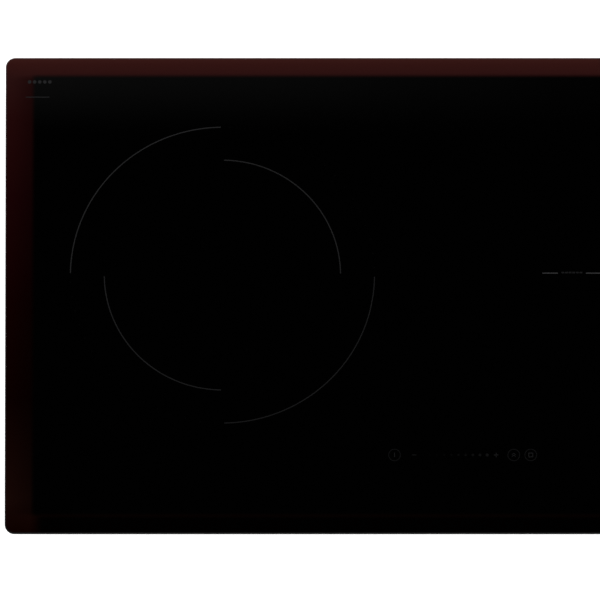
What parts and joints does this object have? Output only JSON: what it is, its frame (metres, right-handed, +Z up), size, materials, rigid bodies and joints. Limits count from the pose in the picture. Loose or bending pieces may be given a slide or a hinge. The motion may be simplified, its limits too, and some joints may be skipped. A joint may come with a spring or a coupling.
{
  "type": "built-in electric induction cooktop",
  "caption": "Drop-in electric induction cooktop: flat black glass top with dark red rim, touch slider controls, shallow vented steel casing, spring clips and rear terminal box.",
  "frame": {"origin": "centre of the casing underside, below the middle of the glass", "axes": "+X along the long side to the user's right, +Y to the rear, +Z up out of the glass"},
  "size_m": [0.8, 0.5, 0.054],
  "materials": {
    "black_glass": "polished black glass-ceramic, translucent dark red at its rim",
    "seal_foam": "closed-cell foam tape",
    "silicone": "cured silicone",
    "frame_steel": "black powder coat",
    "casing_steel": "galvanised sheet with spangle",
    "screw_steel": "zinc plated",
    "deck_aluminium": "mill finish sheet",
    "post_aluminium": "turned",
    "carrier_plastic": "heat-resistant moulding",
    "ferrite": "sintered ferrite",
    "mica": "pressed mica sheet",
    "sensor_ceramic": "glazed ceramic cap",
    "spring_steel": "spring wire",
    "litz_copper": "twisted enamelled copper",
    "circuit_board": "solder mask over tracks",
    "standoff_plastic": "moulded nylon",
    "device_black": "moulded epoxy",
    "choke_copper": "enamelled copper winding",
    "sink_aluminium": "extruded",
    "capacitor_plastic": "potted box",
    "fan_plastic": "glass-filled moulding",
    "impeller_plastic": "moulded",
    "motor_steel": "laminated",
    "filter_plastic": "moulded capacitor case",
    "relay_plastic": "sealed case",
    "terminal_plastic": "moulded polyamide",
    "block_plastic": "moulded polyamide",
    "terminal_brass": "plated brass",
    "control_plastic": "moulded",
    "contact_foam": "conductive foam",
    "display_plastic": "smoked face",
    "ribbon_plastic": "flat cable",
    "lead_insulation": "woven glass sleeve",
    "clip_steel": "spring stainless"
  },
  "bodies": {
    "hob": {"glass_top": "black_glass", "rim_seal": "seal_foam", "bond_bead": "silicone", "glass_frame": "frame_steel", "lower_casing": "casing_steel", "sheet_screws": "screw_steel", "coil_deck": "deck_aluminium", "deck_posts": "post_aluminium", "left_coil_carrier": "carrier_plastic", "front_coil_carrier": "carrier_plastic", "rear_coil_carrier": "carrier_plastic", "left_ferrites": "ferrite", "front_ferrites": "ferrite", "rear_ferrites": "ferrite", "left_mica": "mica", "front_mica": "mica", "rear_mica": "mica", "left_sensor_spring": "spring_steel", "front_sensor_spring": "spring_steel", "rear_sensor_spring": "spring_steel", "left_outer_winding": "litz_copper", "left_inner_winding": "litz_copper", "front_winding": "litz_copper", "rear_winding": "litz_copper", "left_power_board": "circuit_board", "right_power_board": "circuit_board", "filter_board": "circuit_board", "control_board": "circuit_board", "board_standoffs": "standoff_plastic", "power_devices": "device_black", "power_chokes": "choke_copper", "left_heatsink": "sink_aluminium", "right_heatsink": "sink_aluminium", "left_capacitors": "capacitor_plastic", "right_capacitors": "capacitor_plastic", "left_fan_housing": "fan_plastic", "right_fan_housing": "fan_plastic", "fan_motors": "motor_steel", "filter_parts": "filter_plastic", "mains_relays": "relay_plastic", "terminal_box": "terminal_plastic", "terminal_block": "block_plastic", "terminal_screws": "terminal_brass", "cable_clamp": "terminal_plastic", "control_carrier": "control_plastic", "key_pads": "contact_foam", "display_modules": "display_plastic", "ribbon_cable": "ribbon_plastic", "coil_leads": "lead_insulation", "clip_brackets": "screw_steel"},
    "left_fan_wheel": {"left_impeller": "impeller_plastic"},
    "right_fan_wheel": {"right_impeller": "impeller_plastic"},
    "left_plunger": {"left_sensor": "sensor_ceramic"},
    "front_plunger": {"front_sensor": "sensor_ceramic"},
    "rear_plunger": {"rear_sensor": "sensor_ceramic"},
    "left_front_leaf": {"left_front_clip": "clip_steel"},
    "left_rear_leaf": {"left_rear_clip": "clip_steel"},
    "right_front_leaf": {"right_front_clip": "clip_steel"},
    "right_rear_leaf": {"right_rear_clip": "clip_steel"},
    "lid": {"terminal_lid": "terminal_plastic"}
  },
  "joints": [
    {"name": "left_fan_spin", "type": "hinge", "parent": "hob", "child": "left_fan_wheel", "pos_m": [-0.205, 0.148, 0.0135], "axis": [0, 0, 1], "continuous": true},
    {"name": "right_fan_spin", "type": "hinge", "parent": "hob", "child": "right_fan_wheel", "pos_m": [0.096, 0.148, 0.0135], "axis": [0, 0, 1], "continuous": true},
    {"name": "left_sensor_press", "type": "slide", "parent": "hob", "child": "left_plunger", "axis": [0, 0, 1], "range_m": [-0.0025, 0], "stiffness_N_per_m": 300, "springref_m": 0.001, "deforming": ["left_sensor_spring"]},
    {"name": "front_sensor_press", "type": "slide", "parent": "hob", "child": "front_plunger", "axis": [0, 0, 1], "range_m": [-0.0025, 0], "stiffness_N_per_m": 300, "springref_m": 0.001, "deforming": ["front_sensor_spring"]},
    {"name": "rear_sensor_press", "type": "slide", "parent": "hob", "child": "rear_plunger", "axis": [0, 0, 1], "range_m": [-0.0025, 0], "stiffness_N_per_m": 300, "springref_m": 0.001, "deforming": ["rear_sensor_spring"]},
    {"name": "left_front_clip_flex", "type": "hinge", "parent": "hob", "child": "left_front_leaf", "pos_m": [-0.373, -0.15, 0.009], "axis": [0, 1, 0], "range_deg": [0, 5], "stiffness_Nm_per_rad": 4},
    {"name": "left_rear_clip_flex", "type": "hinge", "parent": "hob", "child": "left_rear_leaf", "pos_m": [-0.373, 0.15, 0.009], "axis": [0, 1, 0], "range_deg": [0, 5], "stiffness_Nm_per_rad": 4},
    {"name": "right_front_clip_flex", "type": "hinge", "parent": "hob", "child": "right_front_leaf", "pos_m": [0.373, -0.15, 0.009], "axis": [0, -1, 0], "range_deg": [0, 5], "stiffness_Nm_per_rad": 4},
    {"name": "right_rear_clip_flex", "type": "hinge", "parent": "hob", "child": "right_rear_leaf", "pos_m": [0.373, 0.15, 0.009], "axis": [0, -1, 0], "range_deg": [0, 5], "stiffness_Nm_per_rad": 4},
    {"name": "terminal_lid_hinge", "type": "hinge", "parent": "hob", "child": "lid", "pos_m": [0.27, 0.2356, 0.007], "axis": [-1, 0, 0], "range_deg": [0, 95]}
  ]
}
